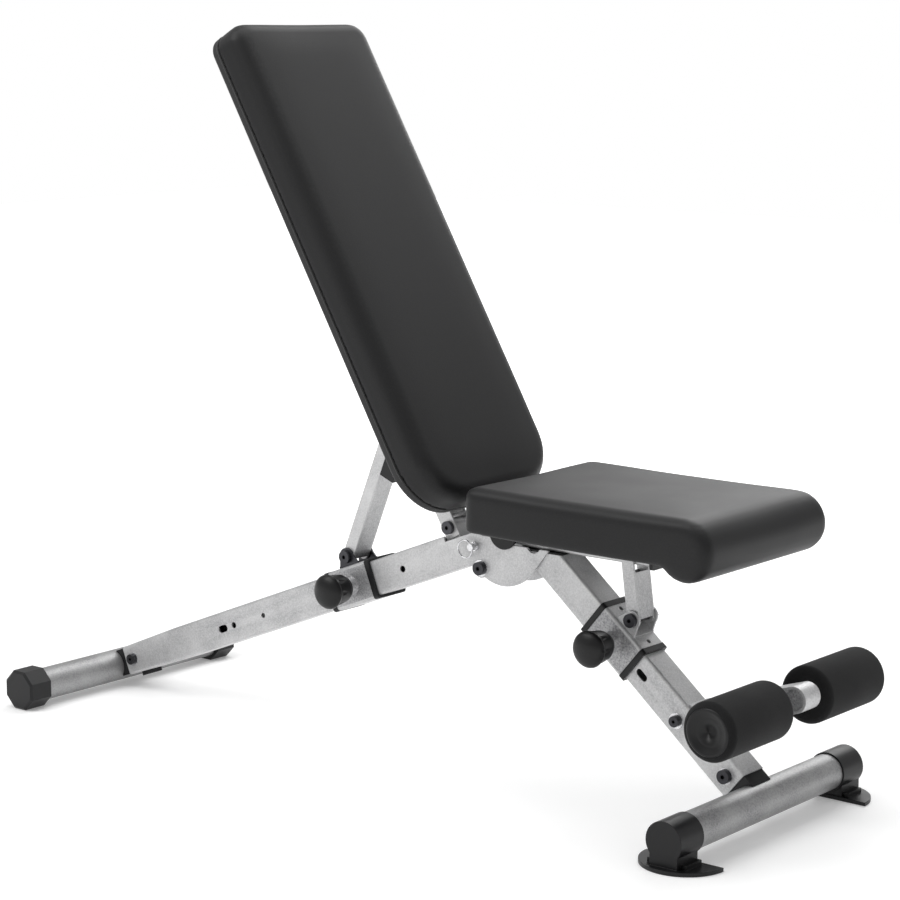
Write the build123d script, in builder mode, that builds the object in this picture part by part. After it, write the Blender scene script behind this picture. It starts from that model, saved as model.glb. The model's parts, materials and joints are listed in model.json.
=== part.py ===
"""Folding decline sit up bench: silver steel frame, black padded seat and backrest.

The bench stands on a rear cross bar and a front cross bar. +X points the way the
sitter faces, +Y to the sitter's left, +Z up. The origin is on the floor, in the
middle of the bench's length and width. All sizes are in millimetres.
"""
import math
import os

from build123d import *

os.makedirs("parts", exist_ok=True)

# ---------------------------------------------------------------- driving sizes
bar_radius = 25.0            # both round cross bars
bar_wall = 2.5
tube_corner = 4.0            # outside corner radius of the square tubes

rear_cap_flats = 60.0        # octagonal rubber cap, flat to flat: sets the rear bar's height
rear_half_width = 225.0      # middle of the bench to the outside of a rear cap
rear_cap_length = 41.0
front_axis_height = 38.0
front_half_width = 222.0     # middle of the bench to the outside of a front cap
front_cap_length = 51.0
foot_radius = 59.0           # half-round foot plate
foot_plate_thickness = 5.0
foot_chord = 174.0           # middle of the bench to the straight edge of the plate
wheelbase = 1206.5           # rear bar axis to front bar axis
end_wall = 5.0               # closed ends of caps

rail_slope = 21.65           # degrees, rail climbs from the rear bar
rail_half_width = 27.0
rail_half_height = 25.5
rail_end_half_height = 22.8  # the rail is pressed thinner where it meets the rear bar
rail_start = 35.5            # rear bar axis to the rail's end, along the rail
rail_taper_end = 160.0
rail_wall = 3.0
rail_top_end = 736.0         # the rail's top is open from here on
rail_end = 775.0             # sides and floor of the rail end here, against the hinge cheeks
rail_step = 752.0            # the rail's sides drop a little from here
rail_step_depth = 8.0
seam = 0.1                   # rail end to hinge cheeks

leg_slope = 40.0             # degrees, leg falls towards the front bar
leg_half_width = 23.4
leg_half_height = 24.4
leg_start = 32.0             # front bar axis to the leg's end, along the leg
leg_wall = 2.5
leg_cut_height = 330.0       # the leg's top end is cut level under the seat tube

roller_ahead = 1246.5        # rear bar axis to roller axis
roller_height = 179.0
roller_radius = 39.5
roller_outer = 187.5
roller_inner = 43.0

fold_pivot_ahead, fold_pivot_height = 757.7, 294.7
lock_pin_ahead, lock_pin_height = 748.0, 325.0
seat_pivot_ahead, seat_pivot_height = 798.5, 351.0
back_pivot_ahead, back_pivot_height = 692.0, 343.0
cheek_centre_ahead, cheek_centre_height, cheek_radius = 796.6, 339.8, 65.5
cheek_top = 334.5
cheek_notch_ahead, cheek_notch_height, cheek_notch_radius = 850.0, 340.0, 12.0

back_slope = 59.7            # degrees from level
back_width = 282.0
back_length = 752.0
back_start = 11.0            # pivot to the lower end of the backrest, along it
board_thickness = 12.0
back_board_front = 56.2      # pivot axis to the board's front face, square to the backrest
back_thickness = 61.3        # board and cushion together
back_top_corner, back_low_corner = 30.0, 75.0
back_tube_depth, back_tube_half_width = 25.0, 14.0
back_tube_end = 483.0

seat_rear_ahead, seat_nose_ahead = 817.5, 1216.0
seat_under, seat_top = 370.0, 433.0
seat_width = 293.0
nose_radius = 41.0
seat_corner = 16.0
seat_tube_half_width, seat_tube_height = 14.0, 34.0
seat_tube_under = 332.0
seat_tube_front = 1035.0
seat_bars_ahead = (868, 1010)

strut_half_width, strut_half_depth, strut_wall = 18.75, 9.5, 2.5
strut_side_wall = 3.5
carriage_length = 93.0       # rings included
ring_length = 8.5
sleeve_wall = 2.5
liner_gap = 1.4              # rail face to the inside of the sleeve
rear_carriage_at = 556.0     # along the rail
front_carriage_at = 289.0    # along the leg
carriage_pivot_rise = 43.5   # tube axis to strut pivot
rear_strut_top_at = 191.7    # backrest pivot to strut pivot, along the back tube
front_strut_top_ahead = 1000.5
rear_strut_slot, front_strut_slot = 75.0, 31.0

knob_radius = 25.5
knob_outer_face = 92.0       # middle of the bench to the crown of a knob
knob_inner_face = 45.0
pin_radius = 5.0
bolt_radius = 5.0
bolt_head_radius, bolt_head_height = 9.5, 6.0
washer_radius, washer_thickness = 12.0, 1.5
axle_radius = 10.0

running_fit = 0.05           # radial, around every pivot and sliding pin
slide_fit = 0.4              # carriage rings on the tubes
side_fit = 0.5               # between plates that turn past each other
soft_gap = 0.3               # around cushions

# ---------------------------------------------------------------- derived places
rear_axis_height = rear_cap_flats / 2
rear_x = -(roller_ahead + roller_radius - rear_cap_flats / 2) / 2


def place(ahead, height):
    """Side-view place: distance ahead of the rear bar and height above the floor."""
    return (rear_x + ahead, height)


def along(angle):
    """Unit direction in the side view, for an angle above +X."""
    return (math.cos(math.radians(angle)), math.sin(math.radians(angle)))


def side_frame(origin, angle, flip=False):
    """Side-view plane with local x along the angle; flip turns local y to the other side."""
    c, s = along(angle)
    return Plane(origin=(origin[0], 0, origin[1]), x_dir=(c, 0, s), z_dir=(0, 1 if flip else -1, 0))


def moved(plane, y):
    """The same side-view plane, shifted to one side of the bench."""
    return Plane(origin=plane.origin + Vector(0, y, 0), x_dir=plane.x_dir, z_dir=plane.z_dir)


def section(plane, start):
    """Cross-section plane of a tube that runs along the side-view plane's local x."""
    return Plane(origin=plane.from_local_coords(Vector(start, 0, 0)), x_dir=(0, 1, 0), z_dir=plane.x_dir)


def spot(plane, x, y):
    """Side-view place of a local point of a side frame."""
    point = plane.from_local_coords(Vector(x, y, 0))
    return (point.X, point.Z)


side = Plane.XZ
rail = side_frame(place(0, rear_axis_height), rail_slope)
leg = side_frame(place(wheelbase, front_axis_height), 180 - leg_slope, flip=True)
back_pivot = place(back_pivot_ahead, back_pivot_height)
back = side_frame(back_pivot, 180 - back_slope, flip=True)
fold_pivot = place(fold_pivot_ahead, fold_pivot_height)
lock_place = place(lock_pin_ahead, lock_pin_height)
seat_pivot = place(seat_pivot_ahead, seat_pivot_height)
cheek_centre = place(cheek_centre_ahead, cheek_centre_height)
roller_place = place(roller_ahead, roller_height)

rear_low = spot(rail, rear_carriage_at, carriage_pivot_rise)
rear_high = spot(back, rear_strut_top_at, 0)
front_low = spot(leg, front_carriage_at, carriage_pivot_rise)
front_high = place(front_strut_top_ahead, seat_pivot_height)


def strut_frame(low, high):
    """Side frame and length of a strut between its two pivots."""
    dx, dz = high[0] - low[0], high[1] - low[1]
    return side_frame(low, math.degrees(math.atan2(dz, dx))), math.hypot(dx, dz)


rear_strut_frame, rear_strut_length = strut_frame(rear_low, rear_high)
front_strut_frame, front_strut_length = strut_frame(front_low, front_high)


# ---------------------------------------------------------------- repeated shapes
def drum(plane, centre, radius, y_from, y_to, mode=Mode.ADD):
    """Round bar across the bench between two sideways positions."""
    with BuildSketch(moved(plane, (y_from + y_to) / 2)) as disc:
        with Locations(centre):
            Circle(radius)
    extrude(disc.sketch, amount=abs(y_to - y_from) / 2, both=True, mode=mode)


def plate(plane, points, y_from, y_to, mode=Mode.ADD):
    """Flat plate with straight edges, given by its side-view corners."""
    with BuildSketch(moved(plane, (y_from + y_to) / 2)) as outline:
        Polygon(*points, align=None)
    extrude(outline.sketch, amount=abs(y_to - y_from) / 2, both=True, mode=mode)


def block(plane, x_from, x_to, y_from, y_to, across_from, across_to, mode=Mode.ADD):
    """Rectangular block in a side frame."""
    corners = [(x_from, y_from), (x_to, y_from), (x_to, y_to), (x_from, y_to)]
    plate(plane, corners, across_from, across_to, mode)


def slot_hole(plane, centre, length, width, y_from, y_to):
    """Long hole through a side wall."""
    with BuildSketch(moved(plane, (y_from + y_to) / 2)) as outline:
        with Locations(centre):
            SlotOverall(length, width)
    extrude(outline.sketch, amount=abs(y_to - y_from) / 2, both=True, mode=Mode.SUBTRACT)


def cross_bolt(plane, centre, near, far, head=bolt_head_radius):
    """Socket-head bolt across the bench: head on the near side, nut on the far side."""
    drum(plane, centre, bolt_radius, near, far + bolt_head_height + 2)
    drum(plane, centre, head, near - bolt_head_height, near)
    drum(plane, centre, head * 0.3, near - bolt_head_height, near - bolt_head_height + 3, Mode.SUBTRACT)
    with BuildSketch(moved(plane, far + bolt_head_height / 2)) as nut:
        with Locations(centre):
            RegularPolygon(head, 6)
    extrude(nut.sketch, amount=bolt_head_height / 2, both=True)


def washers(plane, centre, near, far, radius=washer_radius):
    """A washer under the head and one under the nut."""
    for start, end in ((near - washer_thickness, near), (far, far + washer_thickness)):
        drum(plane, centre, radius, start, end)
        drum(plane, centre, bolt_radius, start, end, Mode.SUBTRACT)


def tube_section(plane, start, half_width, half_height, corner):
    """Rounded rectangle across a tube that runs along a side frame's local x."""
    with BuildSketch(section(plane, start)) as outline:
        RectangleRounded(2 * half_width, 2 * half_height, corner)
    return outline.sketch


def bar(plane, start, end, half_width, half_height, corner=tube_corner, mode=Mode.ADD):
    """Solid square bar along a side frame's local x."""
    extrude(tube_section(plane, start, half_width, half_height, corner), amount=end - start, mode=mode)


def box_tube(plane, start, end, half_width, half_height, wall):
    """Square tube along a side frame's local x."""
    bar(plane, start, end, half_width, half_height)
    bar(plane, start - 1, end + 1, half_width - wall, half_height - wall, tube_corner - wall + 1, Mode.SUBTRACT)


def save(part, name):
    """Label a finished piece and write it out."""
    part.part.label = name
    export_step(part.part, f"parts/{name}.step")


# ================================================================ rear frame
with BuildPart() as rear_crossbar:
    drum(side, place(0, rear_axis_height), bar_radius, -rear_half_width + end_wall, rear_half_width - end_wall)
    drum(side, place(0, rear_axis_height), bar_radius - bar_wall, -rear_half_width, rear_half_width,
         Mode.SUBTRACT)
save(rear_crossbar, "rear_crossbar")

with BuildPart() as rear_caps:
    for hand in (-1, 1):
        with BuildSketch(moved(side, hand * (rear_half_width - rear_cap_length / 2))):
            with Locations(place(0, rear_axis_height)):
                RegularPolygon(rear_cap_flats / 2, 8, major_radius=False, rotation=22.5)
        extrude(amount=rear_cap_length / 2, both=True)
    outer = rear_caps.edges().filter_by(lambda e: abs(abs(e.center().Y) - rear_half_width) < 0.01)
    chamfer(outer, 3.0)
    for hand in (-1, 1):
        drum(side, place(0, rear_axis_height), bar_radius, hand * (rear_half_width - rear_cap_length - 1),
             hand * (rear_half_width - end_wall), Mode.SUBTRACT)
save(rear_caps, "rear_caps")

rail_inside = rail_half_height - rail_wall
lug_half = back_tube_half_width - side_fit
lug_axis = rail.to_local_coords(Vector(back_pivot[0], 0, back_pivot[1]))
with BuildPart() as rear_rail:
    loft([tube_section(rail, rail_start, rail_half_width, rail_end_half_height, tube_corner),
          tube_section(rail, rail_taper_end, rail_half_width, rail_half_height, tube_corner)])
    bar(rail, rail_taper_end, rail_end, rail_half_width, rail_half_height)
    loft([tube_section(rail, rail_start, rail_half_width - rail_wall, rail_end_half_height - rail_wall, 2),
          tube_section(rail, rail_taper_end, rail_half_width - rail_wall, rail_inside, 2)], mode=Mode.SUBTRACT)
    bar(rail, rail_taper_end, rail_end + 1, rail_half_width - rail_wall, rail_inside, 2, Mode.SUBTRACT)
    # the top is cut away where the backrest hinge stands, and the sides drop towards the cheeks
    block(rail, rail_top_end, rail_end + 1, rail_inside - 2, rail_half_height + 1,
          -rail_half_width + rail_wall, rail_half_width - rail_wall, Mode.SUBTRACT)
    block(rail, rail_step, rail_end + 1, rail_half_height - rail_step_depth, rail_half_height + 1,
          -rail_half_width - 1, rail_half_width + 1, Mode.SUBTRACT)
    # adjusting holes in the near side, then the bolt hole right through
    for at, radius in ((294, 4.8), (361, 4), (rear_carriage_at, 5), (660, 5)):
        drum(rail, (at, 0), radius, -rail_half_width - 1, -rail_half_width + rail_wall + 1, Mode.SUBTRACT)
    slot_hole(rail, (269, 0), 20, 11, -rail_half_width - 1, -rail_half_width + rail_wall + 1)
    drum(rail, (53, 0), bolt_radius, -rail_half_width - 1, rail_half_width + 1, Mode.SUBTRACT)
    # lug that stands inside the rail and carries the backrest
    block(rail, lug_axis.X - 12.5, lug_axis.X + 12.5, -rail_inside - 1, lug_axis.Y, -lug_half, lug_half)
    drum(side, back_pivot, 12.5, -lug_half, lug_half)
    drum(side, back_pivot, bolt_radius, -lug_half - 1, lug_half + 1, Mode.SUBTRACT)
save(rear_rail, "rear_rail")

tongue_inner, tongue_outer = 17.9, 23.1
tongue_foot = -rail_inside + 3


def hinge_hull(first, second, radius):
    """Outline of a strap around two round ends, drawn in the side view."""
    middle = ((first[0] + second[0]) / 2, (first[1] + second[1]) / 2)
    reach = math.hypot(second[0] - first[0], second[1] - first[1])
    lean = math.degrees(math.atan2(second[1] - first[1], second[0] - first[0]))
    with Locations(Location((middle[0], middle[1], 0), (0, 0, lean))):
        SlotCenterToCenter(reach, 2 * radius)


with BuildPart() as rail_tongue:
    for hand in (-1, 1):
        with BuildSketch(moved(side, hand * (tongue_inner + tongue_outer) / 2)) as strap:
            hinge_hull(fold_pivot, lock_place, 12)
            Polygon(spot(rail, 690, tongue_foot), spot(rail, 790, tongue_foot), fold_pivot, lock_place,
                    spot(rail, 790, 10), spot(rail, 690, 10), align=None)
            with Locations(fold_pivot):
                Circle(bolt_radius + running_fit, mode=Mode.SUBTRACT)
            with Locations(lock_place):
                Circle(pin_radius + 0.5, mode=Mode.SUBTRACT)
        extrude(strap.sketch, amount=(tongue_outer - tongue_inner) / 2, both=True)
        # thicker inside the rail, where the strap is welded to its side
        block(rail, 690, rail_end - 5, tongue_foot, 10, hand * (tongue_outer - 0.5),
              hand * (rail_half_width - rail_wall))
save(rail_tongue, "rail_tongue")

with BuildPart() as rear_saddle:
    block(rail, 16, rail_start, -21, 21, -24.5, 24.5)
    block(rail, rail_start, rail_start + 8, -rail_end_half_height + rail_wall + 0.5,
          rail_end_half_height - rail_wall - 0.5, -23, 23)
    drum(side, place(0, rear_axis_height), bar_radius, -40, 40, Mode.SUBTRACT)
save(rear_saddle, "rear_saddle")

with BuildPart() as rear_end_bolt:
    cross_bolt(rail, (53, 0), -rail_half_width - washer_thickness, rail_half_width + washer_thickness, 8.3)
save(rear_end_bolt, "rear_end_bolt")

with BuildPart() as rear_washers:
    washers(rail, (53, 0), -rail_half_width, rail_half_width, 11)
save(rear_washers, "rear_washers")

with BuildPart() as rail_bumper:
    block(rail, 52, 64, -rail_end_half_height - 7, -rail_end_half_height + 4, -16, 16)
    # its top follows the underside of the rail
    drop = math.degrees(math.atan((rail_half_height - rail_end_half_height) / (rail_taper_end - rail_start)))
    under_rail = side_frame(spot(rail, rail_start, -rail_end_half_height), rail_slope - drop)
    block(under_rail, -10, 60, 0, 20, -30, 30, Mode.SUBTRACT)
save(rail_bumper, "rail_bumper")

hinge_plate = 3.0
with BuildPart() as back_hinge_bolt:
    cross_bolt(side, back_pivot, -back_tube_half_width - hinge_plate - side_fit,
               back_tube_half_width + hinge_plate + side_fit)
save(back_hinge_bolt, "back_hinge_bolt")

# ================================================================ front leg and hinge cheeks
leg_box = (place(700, 0)[0], place(1000, 0)[0])
with BuildPart() as front_leg:
    box_tube(leg, leg_start, 540, leg_half_width, leg_half_height, leg_wall)
    block(side, leg_box[0], leg_box[1], leg_cut_height, 500, -40, 40, Mode.SUBTRACT)
    slot_hole(leg, (228, 0), 20, 10, -leg_half_width - 1, -leg_half_width + leg_wall + 1)
    drum(leg, (front_carriage_at, 0), 5, -leg_half_width - 1, -leg_half_width + leg_wall + 1, Mode.SUBTRACT)
    for at, rise in ((50, 0), (150, -4)):
        drum(leg, (at, rise), bolt_radius, -leg_half_width - 1, leg_half_width + 1, Mode.SUBTRACT)
save(front_leg, "front_leg")

plug_thickness = 1.5
with BuildPart() as leg_end_plug:
    bar(leg, 400, 540, leg_half_width, leg_half_height)
    block(side, leg_box[0], leg_box[1], 200, leg_cut_height, -40, 40, Mode.SUBTRACT)
    block(side, leg_box[0], leg_box[1], leg_cut_height + plug_thickness, 600, -40, 40, Mode.SUBTRACT)
save(leg_end_plug, "leg_end_plug")

cheek_thickness = rail_half_width - leg_half_width
with BuildPart() as hinge_cheeks:
    for hand in (-1, 1):
        with BuildSketch(moved(side, hand * (leg_half_width + rail_half_width) / 2)) as cheek:
            with Locations(cheek_centre):
                Circle(cheek_radius)
            with Locations((cheek_centre[0], cheek_top + 100)):
                Rectangle(400, 200, mode=Mode.SUBTRACT)
            # square end on the leg
            Polygon((cheek_centre[0], cheek_top), place(876, cheek_top), place(852.2, 304.1),
                    (cheek_centre[0], 300), align=None)
            # band that carries on the line of the rail
            Polygon(spot(rail, rail_end + seam, -rail_half_height), spot(rail, 840, -rail_half_height),
                    spot(rail, 862, rail_half_height - rail_step_depth),
                    spot(rail, rail_end + seam, rail_half_height - rail_step_depth), align=None)
            with Locations(fold_pivot):
                Circle(14)
            with Locations(seat_pivot):
                Circle(17)
            with Locations(place(cheek_notch_ahead, cheek_notch_height)):
                Circle(cheek_notch_radius, mode=Mode.SUBTRACT)
            with Locations(fold_pivot, seat_pivot):
                Circle(bolt_radius, mode=Mode.SUBTRACT)
            with Locations(lock_place):
                Circle(pin_radius + running_fit, mode=Mode.SUBTRACT)
        extrude(cheek.sketch, amount=cheek_thickness / 2, both=True)
save(hinge_cheeks, "hinge_cheeks")

seat_cap_radius, seat_cap_thickness = 24.0, 4.0
with BuildPart() as seat_hinge_bolt:
    drum(side, seat_pivot, bolt_radius, -rail_half_width, rail_half_width)
save(seat_hinge_bolt, "seat_hinge_bolt")

with BuildPart() as seat_hinge_caps:
    for hand in (-1, 1):
        drum(side, seat_pivot, seat_cap_radius, hand * rail_half_width,
             hand * (rail_half_width + seat_cap_thickness))
    fillet(seat_hinge_caps.edges().filter_by(lambda e: abs(e.center().Y) > rail_half_width + 1), 1.5)
save(seat_hinge_caps, "seat_hinge_caps")

with BuildPart() as seat_spacers:
    for hand in (-1, 1):
        drum(side, seat_pivot, 13, hand * (seat_tube_half_width + 0.3), hand * leg_half_width)
        drum(side, seat_pivot, bolt_radius, hand * seat_tube_half_width, hand * leg_half_width, Mode.SUBTRACT)
save(seat_spacers, "seat_spacers")

front_bar = place(wheelbase, front_axis_height)
with BuildPart() as front_crossbar:
    drum(side, front_bar, bar_radius, -front_half_width + end_wall, front_half_width - end_wall)
    drum(side, front_bar, bar_radius - bar_wall, -front_half_width, front_half_width, Mode.SUBTRACT)
save(front_crossbar, "front_crossbar")


def foot(hand):
    """Rubber cap of the front bar with its half-round plate on the floor."""
    inner, outer = hand * (front_half_width - front_cap_length), hand * front_half_width
    with BuildSketch(Plane.XY) as half_round:
        with Locations((front_bar[0], hand * foot_chord)):
            Circle(foot_radius)
        with Locations((front_bar[0], hand * (foot_chord - foot_radius))):
            Rectangle(3 * foot_radius, 2 * foot_radius, mode=Mode.SUBTRACT)
    extrude(half_round.sketch, amount=foot_plate_thickness)
    drum(side, front_bar, bar_radius + 2.2, inner, outer)
    block(side, front_bar[0] - 21, front_bar[0] + 21, foot_plate_thickness, front_axis_height - 12,
          hand * (foot_chord + 2), outer)
    for lean in (-1, 1):
        block(side, front_bar[0] + lean * 21, front_bar[0] + lean * 30, foot_plate_thickness,
              foot_plate_thickness + 6, hand * (foot_chord + 6), hand * (front_half_width - 8))


def foot_bore(hand):
    """Socket for the end of the front bar."""
    drum(side, front_bar, bar_radius, hand * (front_half_width - front_cap_length - 1),
         hand * (front_half_width - end_wall), Mode.SUBTRACT)


with BuildPart() as front_foot_right:
    foot(-1)
    foot_bore(-1)
save(front_foot_right, "front_foot_right")

with BuildPart() as front_foot_left:
    foot(1)
    foot_bore(1)
save(front_foot_left, "front_foot_left")

with BuildPart() as front_saddle:
    block(leg, 14, leg_start, -22, 22, -21.5, 21.5)
    block(leg, leg_start, leg_start + 8, -leg_half_height + leg_wall + 1.5, leg_half_height - leg_wall - 1.5,
          -leg_half_width + leg_wall + 1.5, leg_half_width - leg_wall - 1.5)
    drum(side, front_bar, bar_radius, -40, 40, Mode.SUBTRACT)
save(front_saddle, "front_saddle")

with BuildPart() as frame_bolts:
    cross_bolt(side, fold_pivot, -rail_half_width - washer_thickness, rail_half_width + washer_thickness)
    for at, rise, head in ((50, 0, 9.5), (150, -4, 7.6)):
        cross_bolt(leg, (at, rise), -leg_half_width - washer_thickness, leg_half_width + washer_thickness, head)
save(frame_bolts, "frame_bolts")

with BuildPart() as frame_washers:
    washers(side, fold_pivot, -rail_half_width, rail_half_width)
    for at, rise in ((50, 0), (150, -4)):
        washers(leg, (at, rise), -leg_half_width, leg_half_width, 11)
save(frame_washers, "frame_washers")

arm_half = 18.0
arm_end = place(1267, 189)
arm_root = spot(leg, 150, -4)
arm_frame = side_frame(arm_end, math.degrees(math.atan2(arm_root[1] - arm_end[1], arm_root[0] - arm_end[0])))
with BuildPart() as roller_arm:
    block(arm_frame, 0, 190, -arm_half, arm_half, -arm_half, arm_half)
    drum(side, arm_end, arm_half, -arm_half, arm_half)
    block(leg, 0, 400, -200, leg_half_height, -40, 40, Mode.SUBTRACT)
    block(arm_frame, 12, 200, -arm_half + 3, arm_half - 3, -arm_half + 3, arm_half - 3, Mode.SUBTRACT)
    for hand in (-1, 1):
        drum(side, arm_end, arm_half - 4, hand * (arm_half - 1.5), hand * (arm_half + 1), Mode.SUBTRACT)
    drum(side, roller_place, axle_radius, -20, 20, Mode.SUBTRACT)
save(roller_arm, "roller_arm")

with BuildPart() as roller_axle:
    drum(side, roller_place, axle_radius, -roller_outer + 6, roller_outer - 6)
    for hand in (-1, 1):
        drum(side, roller_place, axle_radius + 3, hand * (roller_inner - side_fit - 4),
             hand * (roller_inner - side_fit))
    drum(side, roller_place, axle_radius - 2, -roller_outer, roller_outer, Mode.SUBTRACT)
save(roller_axle, "roller_axle")

# ================================================================ foam rollers
def foam(hand):
    """Foam sleeve of one roller."""
    drum(side, roller_place, roller_radius, hand * roller_inner, hand * roller_outer)


for name, hand in (("right", -1), ("left", 1)):
    with BuildPart() as roller_foam:
        foam(hand)
        fillet(roller_foam.edges(), 7)
        drum(side, roller_place, 15.5, hand * (roller_inner - 1), hand * (roller_outer + 1), Mode.SUBTRACT)
        drum(side, roller_place, 24, hand * (roller_outer - 4), hand * (roller_outer + 1), Mode.SUBTRACT)
    save(roller_foam, f"{name}_foam")
    with BuildPart() as roller_tube:
        drum(side, roller_place, 15.5, hand * roller_inner, hand * (roller_outer - 4))
        drum(side, roller_place, axle_radius + running_fit, hand * (roller_inner - 1), hand * roller_outer,
             Mode.SUBTRACT)
    save(roller_tube, f"{name}_roller_tube")
    with BuildPart() as roller_cap:
        drum(side, roller_place, 23.9, hand * (roller_outer - 4), hand * (roller_outer - 1))
    save(roller_cap, f"{name}_roller_cap")

# ================================================================ lock pin
pin_end = -(rail_half_width + 13)
ring_radius, ring_wire = 12.5, 1.3
ring_hang = (-0.938, -0.346)      # direction from the pin to the middle of the ring, side view
with BuildPart() as lock_pin:
    drum(side, lock_place, pin_radius, -leg_half_width - 0.2, pin_end)
    drum(side, lock_place, pin_radius + 1.6, -rail_half_width - 0.2, -rail_half_width - 4)
    with BuildSketch(Plane(origin=(lock_place[0], pin_end + 4, lock_place[1]), x_dir=(0, 1, 0),
                           z_dir=(-ring_hang[1], 0, ring_hang[0]))):
        Circle(ring_wire + 1.1)
    extrude(amount=20, both=True, mode=Mode.SUBTRACT)
save(lock_pin, "lock_pin")

with BuildPart() as pull_ring:
    with Locations(Location((lock_place[0] + ring_hang[0] * ring_radius, pin_end + 4,
                             lock_place[1] + ring_hang[1] * ring_radius), (90, 0, 0))):
        Torus(ring_radius, ring_wire)
save(pull_ring, "pull_ring")


# ================================================================ carriages
def carriage_rings(plane, at, half_width, half_height):
    """Two plastic guide rings, one at each end of a sliding sleeve."""
    for hand in (-1, 1):
        outer_end = at + hand * carriage_length / 2
        inner_end = outer_end - hand * ring_length
        lip_end = inner_end - hand * 12
        for ends, outside in (((outer_end, inner_end), liner_gap + sleeve_wall + 0.5), ((inner_end, lip_end), liner_gap)):
            bar(plane, min(ends), max(ends), half_width + outside, half_height + outside, tube_corner + 1)
        bar(plane, min(outer_end, lip_end) - 1, max(outer_end, lip_end) + 1, half_width + slide_fit,
            half_height + slide_fit, tube_corner, Mode.SUBTRACT)


def carriage_sleeve(plane, at, half_width, half_height):
    """Steel sleeve around the tube, with a boss that guides the pop pin."""
    half = carriage_length / 2 - ring_length
    bar(plane, at - half, at + half, half_width + liner_gap + sleeve_wall, half_height + liner_gap + sleeve_wall,
        tube_corner + 1)
    face = -half_width - liner_gap - sleeve_wall
    with BuildSketch(moved(plane, face)) as boss_root:
        with Locations((at, 0)):
            Circle(15)
    with BuildSketch(moved(plane, face - 8)) as boss_tip:
        with Locations((at, 0)):
            Circle(10)
    loft([boss_root.sketch, boss_tip.sketch])
    bar(plane, at - half - 1, at + half + 1, half_width + liner_gap, half_height + liner_gap, tube_corner + 1,
        Mode.SUBTRACT)
    drum(plane, (at, 0), pin_radius + running_fit, face - 9, face + sleeve_wall + 0.5, Mode.SUBTRACT)


def ear_bracket(plane, at, floor):
    """U bracket on a sleeve: a flat foot and two ears around the strut."""
    inside = strut_half_width + side_fit
    block(plane, at - 19, at + 19, floor, floor + 3, -inside - hinge_plate, inside + hinge_plate)
    for hand in (-1, 1):
        with BuildSketch(moved(plane, hand * (inside + hinge_plate / 2))) as ear:
            Polygon((at - 19, floor), (at + 19, floor), (at + 13, carriage_pivot_rise),
                    (at - 13, carriage_pivot_rise), align=None)
            with Locations((at, carriage_pivot_rise)):
                Circle(13)
                Circle(bolt_radius, mode=Mode.SUBTRACT)
        extrude(ear.sketch, amount=hinge_plate / 2, both=True)


def knob(plane, at):
    """Domed knob with flutes round its skirt."""
    crown, foot_end = knob_outer_face, knob_inner_face
    centre = spot(plane, at, 0)
    with BuildSketch(Plane(origin=(centre[0], 0, centre[1]), x_dir=(1, 0, 0), z_dir=(0, 0, 1))) as profile:
        with BuildLine():
            dome = [(knob_radius * math.cos(math.radians(a)), -crown + 12 * (1 - math.sin(math.radians(a))))
                    for a in range(0, 90, 10)]
            Polyline((0, -crown), (0, -foot_end), (17, -foot_end), (21, -foot_end - 8), (24, -crown + 16), *dome,
                     (0, -crown))
        make_face()
    revolve(profile.sketch, axis=Axis((centre[0], 0, centre[1]), (0, 1, 0)))
    with BuildSketch(moved(side, -(foot_end + crown - 19) / 2)) as flutes:
        with Locations(centre):
            with PolarLocations(27.5, 8):
                Circle(5.5)
    extrude(flutes.sketch, amount=(crown - 17 - foot_end) / 2, both=True, mode=Mode.SUBTRACT)
    drum(side, centre, pin_radius, -foot_end - 12, -foot_end + 1, Mode.SUBTRACT)


def pop_pin(plane, at, half_width):
    """Steel pin of a knob, ending inside the sleeve wall."""
    drum(plane, (at, 0), pin_radius, -knob_inner_face - 12, -half_width - liner_gap - 0.6)


with BuildPart() as rear_rings:
    carriage_rings(rail, rear_carriage_at, rail_half_width, rail_half_height)
save(rear_rings, "rear_rings")

with BuildPart() as rear_sleeve:
    carriage_sleeve(rail, rear_carriage_at, rail_half_width, rail_half_height)
save(rear_sleeve, "rear_sleeve")

with BuildPart() as rear_strut_bracket:
    ear_bracket(rail, rear_carriage_at, rail_half_height + liner_gap + sleeve_wall)
save(rear_strut_bracket, "rear_strut_bracket")

bracket_half = strut_half_width + side_fit + hinge_plate
with BuildPart() as rear_strut_bolt:
    cross_bolt(side, rear_low, -bracket_half, bracket_half)
save(rear_strut_bolt, "rear_strut_bolt")

with BuildPart() as rear_knob:
    knob(rail, rear_carriage_at)
save(rear_knob, "rear_knob")

with BuildPart() as rear_knob_pin:
    pop_pin(rail, rear_carriage_at, rail_half_width)
save(rear_knob_pin, "rear_knob_pin")

with BuildPart() as front_rings:
    carriage_rings(leg, front_carriage_at, leg_half_width, leg_half_height)
save(front_rings, "front_rings")

with BuildPart() as front_sleeve:
    carriage_sleeve(leg, front_carriage_at, leg_half_width, leg_half_height)
    with BuildSketch(Plane(origin=leg.from_local_coords(Vector(front_carriage_at, leg_half_height, 0)),
                           x_dir=(0, 1, 0), z_dir=leg.y_dir)):
        with Locations((0, 30), (0, -30)):
            Circle(3.5)
    extrude(amount=10, mode=Mode.SUBTRACT)
save(front_sleeve, "front_sleeve")

with BuildPart() as front_strut_bracket:
    ear_bracket(leg, front_carriage_at, leg_half_height + liner_gap + sleeve_wall)
save(front_strut_bracket, "front_strut_bracket")

with BuildPart() as front_strut_bolt:
    cross_bolt(side, front_low, -bracket_half, bracket_half)
save(front_strut_bolt, "front_strut_bolt")

with BuildPart() as front_knob:
    knob(leg, front_carriage_at)
save(front_knob, "front_knob")

with BuildPart() as front_knob_pin:
    pop_pin(leg, front_carriage_at, leg_half_width)
save(front_knob_pin, "front_knob_pin")


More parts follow.
